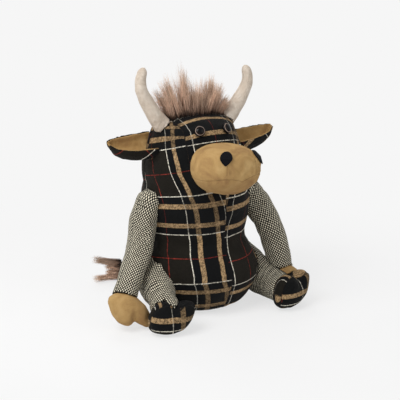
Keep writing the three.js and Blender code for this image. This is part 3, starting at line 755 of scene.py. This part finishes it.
def makeBody():
    piece = clothCopy("bodyCloth", "torso_head", body["voxel"], 1)
    places = points(piece)
    held = heldNear(places, bodyTouch, body["hold"], 0.6)
    # the filling settles, so the cloth stands out more near the floor
    low = np.exp(-((places[:, 2] - body["swellHeight"]) / body["swellReach"]) ** 2)
    places = places + normals(piece) * (body["baseSwell"] * low * (1 - held))[:, None]
    movePoints(piece, places)
    held = np.maximum(held, np.where(bodySeams(places) < body["seamHold"], 0.9, 0))
    held[places[:, 2] < 2 * mm] = 1
    inflate(piece, body, held)
    refine(piece)
    unevenness(piece, *body["lumps"], 1)
    keepAbove(piece, 0.3 * mm)
    half, depth, margin = body["foreheadHalf"], body["napeDepth"], body["cutMargin"]
    cutLine(piece, (body["frontSeam"], 0, 0), (1, 0, 0),
            lambda c: c.y < 0 and c.z < body["foreheadFrom"] + margin)
    for sign in (-1, 1):
        cutLine(piece, (sign * half, 0, 0), (1, 0, 0),
                lambda c: c.y < margin and c.z > body["foreheadFrom"] - margin)
        cutLine(piece, (sign * half, 0, 0), (depth, sign * half, 0),
                lambda c: c.y > -margin / 2 and c.z > body["napeHeight"] - margin)
    cutLine(piece, (0, 0, 0), (1, 0, 0), lambda c: c.y > 10 * mm and not onForehead(c.x, c.y, c.z))
    cutLine(piece, (0, body["sideSeam"], 0), (0, 1, 0), lambda c: not onForehead(c.x, c.y, c.z))
    mapCloth(piece, bodyCut)
    sewSeam(piece, bodySeams(points(piece)), body["grooveDepth"], body["grooveWidth"])
    finishPiece(piece, tartanWool, "tartan", "torso_head")


makeBody()


# Muzzle
muzzle = {
    "voxel": 2.6 * mm, "slack": 1.6 * mm, "pressure": 4.0, "cap": 1.8 * mm, "ease": 0.01, "hold": 2.2 * mm,
    "mouthHeight": 198.5 * mm, "mouthMiddle": -2 * mm, "mouthHalf": 24 * mm, "mouthCurve": 10.0,
    "dartX": (-23.5 * mm, 21.0 * mm), "dartTop": 219 * mm, "dartLean": 0.06, "dartThin": 1.6,
    "seamHold": 1.6 * mm, "foldSize": (10 * mm, 20 * mm, 16 * mm), "foldDepth": 1.3 * mm, "chin": 12 * mm,
    "chinShade": 0.7,
}


def muzzleSeams(places):
    x, y, z = places.T
    side = np.abs(x - muzzle["mouthMiddle"]) - muzzle["mouthHalf"]
    mouth = np.abs(z - muzzle["mouthHeight"] + muzzle["mouthCurve"] * side ** 2)
    inside = (z > muzzle["mouthHeight"] - 1 * mm) & (z < muzzle["dartTop"])
    lean = muzzle["dartLean"] * (z - muzzle["dartTop"])
    darts = [np.where(inside, np.abs(x - place - lean) * muzzle["dartThin"], 1) for place in muzzle["dartX"]]
    return np.minimum.reduce([mouth, *darts])


def makeMuzzle():
    piece = clothCopy("muzzleSuede", "muzzle", muzzle["voxel"], 2)
    places = points(piece)
    held = heldNear(places, ["torso_head", "nostril_right", "nostril_left"], muzzle["hold"], 0.6)
    held = np.maximum(held, np.where(muzzleSeams(places) < muzzle["seamHold"], 0.85, 0))
    inflate(piece, muzzle, held)
    refine(piece)
    places = points(piece)
    below = step01(muzzle["mouthHeight"] - places[:, 2], 0.0, muzzle["chin"])
    folds = np.array([noise.noise(Vector(place)) for place in places / muzzle["foldSize"]])
    movePoints(piece, places + normals(piece) * (folds * below * muzzle["foldDepth"])[:, None])
    sewSeam(piece, muzzleSeams(points(piece)), 1.0 * mm, 1.3 * mm, below * muzzle["chinShade"])
    finishPiece(piece, tanSuede, "tan_suede", "muzzle")


makeMuzzle()


# Limbs: each is mapped round its own middle line, whose points are in mm
limbCloth = {
    "voxel": 3.4 * mm, "slack": 1.0 * mm, "pressure": 4.0, "cap": 2.6 * mm, "ease": 0.03, "hold": 2.2 * mm,
    "sag": 0.0, "floor": 0.2 * mm,
}
limbs = {
    "arm": {**limbCloth, "radii": (21, 17.5)},
    "leg": {**limbCloth, "radii": (32.5, 20), "sag": 3.5 * mm},
    "tail": {**limbCloth, "voxel": 2.2 * mm, "slack": 0.4 * mm, "cap": 1.0 * mm, "ease": 0.02,
             "hold": 1.2 * mm, "radii": (6.5, 6.5)},
    "weave": 3.0, "linePoints": 24, "lumps": (0.9 * mm, 22 * mm),
}
middleLines = {
    "arm_right": [(-66, -7, 158), (-76, -7, 145), (-91, -10, 96), (-127, -40, 47)],
    "arm_left": [(66, -12, 158), (76, -12, 145), (93, -38, 96), (105, -56, 34)],
    "leg_right": [(-58, 0, 47), (-84, -52, 36), (-91, -94, 21)],
    "leg_left": [(58, 0, 47), (84, -52, 26), (92, -94, 21)],
    "tail": [(0, 60, 40), (-30, 100, 38), (-62, 112, 26)],
}


# A smooth curve of many points through a middle line's few.
def smoothLine(line):
    path = np.array(line, float)
    path = np.concatenate([[2 * path[0] - path[1]], path, [2 * path[-1] - path[-2]]])
    found = []
    for place in np.linspace(0, len(line) - 1, limbs["linePoints"]):
        index = min(int(place), len(line) - 2)
        t = place - index
        a, b, c, d = path[index:index + 4]
        square, cube = a - 2.5 * b + 2 * c - d / 2, 1.5 * (b - c) + (d - a) / 2
        found.append(b + (c - a) * t / 2 + square * t ** 2 + cube * t ** 3)
    return np.array(found)


# Place along a line in mm, bearing round it and distance from it, for points in mm.
def aroundLine(places, path):
    starts, spans = path[:-1], np.diff(path, axis=0)
    lengths = np.linalg.norm(spans, axis=1)
    before = np.concatenate([[0], np.cumsum(lengths)[:-1]])
    offsets = places[:, None] - starts[None]
    shares = (offsets * spans[None]).sum(2) / (lengths ** 2)
    last = len(spans) - 1
    low = np.where(np.arange(last + 1) == 0, -1.0, 0.0)
    high = np.where(np.arange(last + 1) == last, 2.0, 1.0)
    shares = np.clip(shares, low, high)
    gaps = np.linalg.norm(offsets - shares[..., None] * spans[None], axis=2)
    near = gaps.argmin(1)
    rows = np.arange(len(places))
    along = before[near] + shares[rows, near] * lengths[near]
    away = offsets[rows, near] - shares[rows, near][:, None] * spans[near]
    main = spans.sum(0) / np.linalg.norm(spans.sum(0))
    side = np.cross(main, (0, 1, 0) if abs(main[1]) < 0.7 else (0, 0, 1))
    side /= np.linalg.norm(side)
    other = np.cross(main, side)
    bearing = np.arctan2(away @ side, away @ other)
    return along, bearing, gaps[rows, near]


# The cloth is laid by the limb's own taper, so its threads run straight over the filling's lumps.
def limbCut(line, radii, turn, seamBearing):
    whole = np.linalg.norm(np.diff(line, axis=0), axis=1).sum()

    def cutOf(places, centres, facing):
        along, bearing = aroundLine(places / mm, line)[:2]
        middle = aroundLine(centres / mm, line)[1]
        bearing = (bearing - seamBearing) % math.tau
        middle = (middle - seamBearing) % math.tau
        bearing = np.where(bearing - middle > math.pi, bearing - math.tau, bearing)
        bearing = np.where(bearing - middle < -math.pi, bearing + math.tau, bearing)
        across = (bearing - math.pi) * (radii[0] + (radii[1] - radii[0]) * step01(along / whole, 0, 0.9))
        c, s = math.cos(turn), math.sin(turn)
        return np.stack([c * across - s * along, s * across + c * along], 1) / limbs["weave"]
    return cutOf


def makeLimb(name, node, kind, touch, turn, seamBearing, seed):
    plan = limbs[kind]
    piece = stuffedPiece(name, node, plan, touch, limbs["lumps"], seed)
    line = smoothLine(middleLines[node])
    mapCloth(piece, limbCut(line, plan["radii"], turn, seamBearing))
    bearing, gap = aroundLine(points(piece) / mm, line)[1:]
    apart = np.abs((bearing - seamBearing + math.pi) % math.tau - math.pi) * gap * mm
    sewSeam(piece, apart, 0.8 * mm, 1.6 * mm)
    finishPiece(piece, tweedWool, "tweed", node)


diagonal = math.radians(45)
legTurn = 0.05
for side, sign in sides:
    makeLimb("arm" + side.title(), "arm_" + side, "arm",
             ["torso_head", "hand_" + side, "leg_" + side, "foot_" + side], diagonal, sign * 1.5, 3 + sign)
    makeLimb("leg" + side.title(), "leg_" + side, "leg",
             ["torso_head", "foot_" + side, "arm_" + side, "hand_" + side], legTurn, sign * 1.2, 7 + sign)
makeLimb("tailTube", "tail", "tail", ["torso_head", "tail_brush"], diagonal, 2.5, 12)


# Hands and feet
hoof = {
    "voxel": 2.6 * mm, "slack": 0.7 * mm, "pressure": 4.0, "cap": 1.8 * mm, "ease": 0.02, "hold": 1.8 * mm,
    "sag": 0.0, "floor": 0.0, "handLumps": (0.8 * mm, 14 * mm), "footLumps": (0.7 * mm, 14 * mm),
    "handShade": 0.7, "shadeReach": 12 * mm, "soleTurn": 19, "soleEdge": 0.35, "soleSeam": 9 * mm,
    "rimShift": 20, "soleShift": {"right": (33, 43.5), "left": (29, 46.5)},
}


def makeHand(side, sign):
    touch = ["arm_" + side, "leg_" + side, "foot_" + side]
    piece = stuffedPiece("hand" + side.title(), "hand_" + side, hoof, touch, hoof["handLumps"], 20 + sign)
    low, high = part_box("hand_" + side)
    inwards = -sign * (points(piece)[:, 0] - (low[0] + high[0]) / 2)
    keep(piece, "seam", 0.0)
    keep(piece, "shadow", step01(inwards, 0, hoof["shadeReach"]) * hoof["handShade"])
    finishPiece(piece, tanSuede, "tan_suede", "hand_" + side)


def footFrame(sign):
    turn = math.radians(hoof["soleTurn"]) * sign
    forward = np.array([math.sin(turn), -math.cos(turn), 0])
    across = np.array([math.cos(turn), math.sin(turn), 0])
    return forward, across


def footCut(sign, middle, shift):
    forward, across = footFrame(sign)

    def cutOf(places, centres, facing):
        offset = (places - middle) / mm
        front = offset @ forward
        wide = offset @ across
        tall = offset[:, 2]
        sole = facing @ forward > hoof["soleEdge"]
        rim = np.hypot(wide, tall) * np.arctan2(tall, wide)
        u = np.where(sole, wide + shift[0], rim + hoof["rimShift"])
        v = np.where(sole, tall + shift[1], front + hoof["rimShift"])
        return np.stack([u, v], 1) / tartan["repeat"]
    return cutOf


def makeFoot(side, sign):
    touch = ["arm_" + side, "leg_" + side, "hand_" + side]
    piece = stuffedPiece("foot" + side.title(), "foot_" + side, hoof, touch, hoof["footLumps"], 30 + sign)
    low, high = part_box("foot_" + side)
    middle = (np.array(low) + np.array(high)) / 2
    turned = normals(piece) @ footFrame(sign)[0]
    mapCloth(piece, footCut(sign, middle, hoof["soleShift"][side]))
    sewSeam(piece, np.abs(turned - hoof["soleEdge"]) * hoof["soleSeam"], 1.0 * mm, 1.7 * mm)
    finishPiece(piece, tartanWool, "tartan", "foot_" + side)


for side, sign in sides:
    makeHand(side, sign)
    makeFoot(side, sign)


# Horns
horn = {
    "voxel": 2.4 * mm, "slack": 0.6 * mm, "pressure": 4.0, "cap": 1.4 * mm, "ease": 0.03, "hold": 1.6 * mm,
    "sag": 0.0, "floor": 0.0, "lumps": (0.7 * mm, 10 * mm), "innerSide": (52 * mm, 75 * mm),
}


def makeHorn(side, sign):
    touch = ["torso_head", "forelock"]
    piece = stuffedPiece("horn" + side.title(), "horn_" + side, horn, touch, horn["lumps"], 40 + sign)
    places = points(piece)
    low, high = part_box("horn_" + side)
    apart = np.abs(places[:, 1] - (low[1] + high[1]) / 2)
    inner = places[:, 0] * sign < np.interp(places[:, 2], [low[2], high[2]], horn["innerSide"])
    sewSeam(piece, np.where(inner, apart, 1), 0.7 * mm, 1.2 * mm)
    finishPiece(piece, creamSuede, "horn_suede", "horn_" + side)


for side, sign in sides:
    makeHorn(side, sign)


# Ears, nostrils and base: flat cloth with a soft edge
thin = {
    "earShift": {"right": (20, 5), "left": (40, 30)}, "earSlant": 0.7071, "baseShift": (14, 20),
    "earLumps": 0.5 * mm, "lumpSize": 12 * mm, "seed": 50,
}


def earCut(side):
    shift, slant = thin["earShift"][side], thin["earSlant"]

    def cutOf(places, centres, facing):
        x, z = places[:, 0] / mm, places[:, 2] / mm
        return np.stack([(x + z) * slant + shift[0], (x - z) * slant + shift[1]], 1) / tartan["repeat"]
    return cutOf


def baseCut(places, centres, facing):
    return (places[:, :2] / mm + thin["baseShift"]) / tartan["repeat"]


def makeThinPiece(name, node, voxel, material, slotName, cutOf=None, lumps=0.0):
    piece = clothCopy(name, node, voxel, 2)
    modify(piece, "SUBSURF", levels=1, render_levels=1)
    if lumps:
        unevenness(piece, lumps, thin["lumpSize"], thin["seed"])
    if cutOf:
        mapCloth(piece, cutOf)
    keep(piece, "seam", 0.0)
    keep(piece, "shadow", 0.0)
    finishPiece(piece, material, slotName, node, fill=0)


for side in ("right", "left"):
    makeThinPiece("earBack" + side.title(), "ear_outer_" + side, 1.3 * mm, tartanWool, "tartan", earCut(side),
                  thin["earLumps"])
    makeThinPiece("earLining" + side.title(), "ear_inner_" + side, 1.1 * mm, tanSuede, "tan_suede", None,
                  thin["earLumps"])
    makeThinPiece("nostril" + side.title(), "nostril_" + side, 0.6 * mm, blackFelt, "nostril_felt")
makeThinPiece("basePatch", "base_panel", 2.2 * mm, tartanWool, "tartan", baseCut)


# Weight bag inside the body
bagPlan = {"voxel": 4.5 * mm, "slack": 0.8 * mm, "pressure": 3.0, "cap": 0.8 * mm, "ease": 0.0}


def makeBag():
    piece = clothCopy("weightBag", "weight_bag", bagPlan["voxel"], 1)
    inflate(piece, bagPlan, np.zeros(len(piece.data.vertices)))
    refine(piece)
    finishPiece(piece, calicoMaterial(), "bag_calico", "weight_bag")


makeBag()


# Eyes
eye = {
    "radius": 7.3 * mm, "dome": 4.6 * mm, "flange": 0.9 * mm, "around": 40, "rings": 24, "lip": 0.35 * mm,
    "lipAt": 0.95, "lipHalf": 0.05,
}


# A domed button whose top lies at the top of its CAD solid, turned the same way.
def makeEye(side):
    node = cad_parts["eye_" + side]
    spots = np.array([v.co for v in node.data.vertices])
    main = np.linalg.svd(spots - spots.mean(0), full_matrices=False)[2][0]
    if main[1] > 0:
        main = -main
    middle = spots[np.abs(spots @ main - (spots @ main).max()) < 0.1 * mm].mean(0)
    bpy.ops.object.select_all(action="DESELECT")
    bpy.ops.mesh.primitive_uv_sphere_add(segments=eye["around"], ring_count=eye["rings"], radius=1)
    piece = bpy.context.object
    piece.name = piece.data.name = "eye" + side.title()
    x, y, z = points(piece).T
    rim = np.hypot(x, y)
    lip = eye["lip"] * np.exp(-((rim - eye["lipAt"]) / eye["lipHalf"]) ** 2) * (z > 0)
    height = z * np.where(z > 0, eye["dome"], eye["flange"]) + lip - eye["dome"]
    shaped = np.stack([x * eye["radius"], y * eye["radius"], height], 1)
    turn = Vector((0, 0, 1)).rotation_difference(Vector(main)).to_matrix()
    movePoints(piece, shaped @ np.array(turn).T + middle)
    keep(piece, "ring", rim)
    finishPiece(piece, eyePlastic, "eye_plastic", "eye_" + side, fill=0)


washerPlastic = washerMaterial()
for side in ("right", "left"):
    makeEye(side)
    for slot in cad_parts["eye_washer_" + side].material_slots:
        slot.material = washerPlastic


# Fur
fur = {
    "rings": 6, "thickness": 0.55 * mm, "taper": 0.93, "thinning": 1.5, "shortest": 0.76, "curl": 4.2 * mm,
    "tuftTone": 0.5, "tuftsAcross": 19, "tuftRows": 5, "hairs": 24, "tailTufts": 32, "tailHairs": 30,
}


def bundle(name, strands):
    curve = bpy.data.curves.new(name, "CURVE")
    curve.dimensions = "3D"
    curve.bevel_depth = fur["thickness"] / 2
    curve.bevel_resolution = 0
    for path, thickness, tone in strands:
        spline = curve.splines.new("POLY")
        spline.points.add(len(path) - 1)
        for index, place in enumerate(path):
            share = index / (len(path) - 1)
            spline.points[index].co = (*place, 1)
            spline.points[index].radius = thickness * (1 - fur["taper"] * share ** fur["thinning"])
    piece = bpy.data.objects.new(name, curve)
    scene.collection.objects.link(piece)
    select(piece)
    bpy.ops.object.convert(target="MESH")
    piece = bpy.context.object
    section = len(piece.data.vertices) // (len(strands) * fur["rings"])
    keep(piece, "strand", np.tile(np.repeat(np.linspace(0, 1, fur["rings"]), section), len(strands)))
    keep(piece, "shade", np.repeat([tone for path, thickness, tone in strands], section * fur["rings"]))
    editAll(piece, lambda: bpy.ops.mesh.fill_holes(sides=4))
    return piece


# Hairs that leave the root apart and gather towards one tip.
def tuft(root, tip, bend, spread, hairs, chance, gather=0.75):
    strands = []
    side = np.cross(tip - root, (0.3, 1, 0.2))
    side /= np.linalg.norm(side)
    other = np.cross(tip - root, side)
    other /= np.linalg.norm(other)
    tuftTone = chance.uniform(0, 1)
    for number in range(hairs):
        angle, out = chance.uniform(0, math.tau), math.sqrt(chance.uniform(0, 1)) * spread
        offset = side * math.cos(angle) * out + other * math.sin(angle) * out
        reach = chance.uniform(fur["shortest"], 1.0)
        loose = 1 - gather * chance.uniform(0.75, 1.0)
        curl = (side * chance.uniform(-1, 1) + other * chance.uniform(-1, 1)) * fur["curl"]
        path = []
        for index in range(fur["rings"]):
            share = index / (fur["rings"] - 1)
            place = root + (tip - root) * share * reach + bend * share * share
            path.append(place + offset * (1 - share * (1 - loose)) + curl * share * share)
        thickness = chance.uniform(0.75, 1.25)
        tone = fur["tuftTone"] * tuftTone + (1 - fur["tuftTone"]) * chance.uniform(0, 1)
        strands.append((path, thickness, tone))
    return strands


forelock = {
    "across": (-1, -0.62, -0.45, -0.2, 0.15, 0.45, 0.75, 1.0), "tipAt": (-58, -41, -23, -9, 8, 21, 34, 44),
    "tipHeight": (298, 313, 331, 294, 289, 317, 301, 274), "rootHalf": 37.5 * mm, "rootShift": -3 * mm,
    "rootDepth": 15 * mm, "rootSink": 1 * mm, "rootWander": 0.06, "aimWander": 0.16, "spread": 5.2 * mm,
    "skyHeight": 350 * mm, "noGround": 250 * mm, "lowGround": 241 * mm, "rise": (0.95, 1.08), "lower": 0.16,
    "crownRound": 0.7, "tipWander": (4, 5), "tipDeep": 1.5, "bend": (2, 3, -1), "seed": 7,
}


# Two peaks of hair that fan out from the crown, the taller on the toy's right.
def makeForelock():
    chance = np.random.default_rng(forelock["seed"])
    head = surfaceOf("torso_head")
    strands = []
    for row in range(fur["tuftRows"]):
        for column in range(fur["tuftsAcross"]):
            across = (column + 0.5 * (row % 2)) / (fur["tuftsAcross"] - 1) * 2 - 1
            deep = row / (fur["tuftRows"] - 1) * 2 - 1
            wander = chance.uniform(-forelock["rootWander"], forelock["rootWander"])
            across = float(np.clip(across + wander, -1, 1))
            x = across * forelock["rootHalf"] + forelock["rootShift"]
            y = deep * forelock["rootDepth"] * math.sqrt(max(1 - across * across * forelock["crownRound"], 0))
            found = head.ray_cast(Vector((x, y, forelock["skyHeight"])), Vector((0, 0, -1)))[0]
            ground = forelock["noGround"] if found is None else max(found.z, forelock["lowGround"])
            root = np.array([x, y, ground - forelock["rootSink"]])
            aimAt = across + chance.uniform(-forelock["aimWander"], forelock["aimWander"])
            tipX, tipZ = (np.interp(aimAt, forelock["across"], forelock[key]) * mm
                          for key in ("tipAt", "tipHeight"))
            rise = (tipZ - ground) * chance.uniform(*forelock["rise"]) * (1 - forelock["lower"] * abs(deep))
            shiftX, shiftY = (chance.uniform(-reach, reach) * mm for reach in forelock["tipWander"])
            tip = np.array([tipX + shiftX, y * forelock["tipDeep"] + shiftY, ground + rise])
            bend = np.array([across, deep, 1]) * forelock["bend"] * mm
            strands += tuft(root, tip - bend, bend, forelock["spread"], fur["hairs"], chance)
    finishPiece(bundle("forelockFur", strands), longFur, "hair", "forelock", fill=0)


tailFur = {
    "rootHeights": (26, 21, 14, 9), "tips": ((-103, 118, 38), (-84, 118, 24), (-84, 118, 14), (-103, 118, 8)),
    "scatter": 2 * mm, "rootSpread": 5 * mm, "rootAlong": (-2, 4), "spread": 4 * mm, "gather": 0.8,
    "lowTip": 4 * mm, "lowRoot": 5 * mm, "seed": 11,
}


# Hair at the tail's end parts into a rising and a falling wisp.
def makeTailFur():
    chance = np.random.default_rng(tailFur["seed"])
    end = np.array(middleLines["tail"][-1]) * mm
    strands = []
    for number in range(fur["tailTufts"]):
        angle = chance.uniform(0, math.tau)
        out = math.sqrt(chance.uniform(0, 1)) * tailFur["rootSpread"]
        which = number % len(tailFur["tips"])
        along = chance.uniform(*tailFur["rootAlong"]) * mm
        root = end + np.array([along, math.cos(angle) * out, math.sin(angle) * out])
        root[2] += tailFur["rootHeights"][which] * mm - end[2]
        wisp = np.array(tailFur["tips"][which]) * mm
        tip = wisp + np.array([chance.uniform(-1, 1) for axis in range(3)]) * tailFur["scatter"]
        tip[2], root[2] = max(tip[2], tailFur["lowTip"]), max(root[2], tailFur["lowRoot"])
        strands += tuft(root, tip, np.zeros(3), tailFur["spread"], fur["tailHairs"], chance,
                        tailFur["gather"])
    finishPiece(bundle("tailFur", strands), longFur, "hair", "tail_brush", fill=0)


makeForelock()
makeTailFur()


# Floor and pale studio: its greys, and how far from the toy the floor fades to the backdrop
studio = {
    "floorSize": 12, "greys": [(0.3, srgb(243, 243, 243)), (0.7, srgb(247, 247, 247))],
    "backdrop": srgb(246, 246, 246), "light": 0.45, "fadeFrom": 0.15, "fadeTo": 0.55, "nearFade": 0.72,
}


def makeFloor():
    bpy.ops.object.select_all(action="DESELECT")
    bpy.ops.mesh.primitive_plane_add(size=studio["floorSize"])
    floor = bpy.context.object
    floor.name = "floor"
    material = bpy.data.materials.new("paleFloor")
    material.use_nodes = True
    tree = material.node_tree
    principled = tree.nodes["Principled BSDF"]
    principled.inputs["Roughness"].default_value = 0.9
    grey = ramp(tree, noiseOf(tree, objectPlace(tree), 8), studio["greys"])[0]
    tree.links.new(grey, principled.inputs["Base Color"])
    away = addNode(tree, "ShaderNodeVectorMath", {0: objectPlace(tree)}, operation="LENGTH").outputs["Value"]
    reach = {"Value": away, "From Min": studio["fadeFrom"], "From Max": studio["fadeTo"],
             "To Min": studio["nearFade"], "To Max": 1.0}
    fade = addNode(tree, "ShaderNodeMapRange", reach, interpolation_type="SMOOTHSTEP").outputs[0]
    seen = tree.nodes.new("ShaderNodeLightPath").outputs["Is Camera Ray"]
    pale = addNode(tree, "ShaderNodeEmission", {"Color": studio["backdrop"], "Strength": 1.0}).outputs[0]
    mixed = addNode(tree, "ShaderNodeMixShader",
                    {0: calc(tree, "MULTIPLY", seen, fade), 1: principled.outputs[0], 2: pale}).outputs[0]
    tree.links.new(mixed, tree.nodes["Material Output"].inputs[0])
    floor.data.materials.append(material)


# What is seen straight, reflected or through glass is the backdrop, and the light on the toy is dimmer.
def makeStudio():
    world = bpy.data.worlds.new("studio")
    scene.world = world
    world.use_nodes = True
    tree = world.node_tree
    tree.nodes.clear()
    light = addNode(tree, "ShaderNodeBackground", {"Color": (1, 1, 1, 1), "Strength": studio["light"]})
    shown = addNode(tree, "ShaderNodeBackground", {"Color": studio["backdrop"], "Strength": 1.0})
    camera, glossy, through = (tree.nodes.new("ShaderNodeLightPath").outputs[name] for name in
                               ("Is Camera Ray", "Is Glossy Ray", "Is Transmission Ray"))
    seen = calc(tree, "MAXIMUM", camera, calc(tree, "MAXIMUM", glossy, through))
    mixed = addNode(tree, "ShaderNodeMixShader", {0: seen, 1: light.outputs[0], 2: shown.outputs[0]})
    output = tree.nodes.new("ShaderNodeOutputWorld")
    tree.links.new(mixed.outputs[0], output.inputs[0])


makeFloor()
makeStudio()
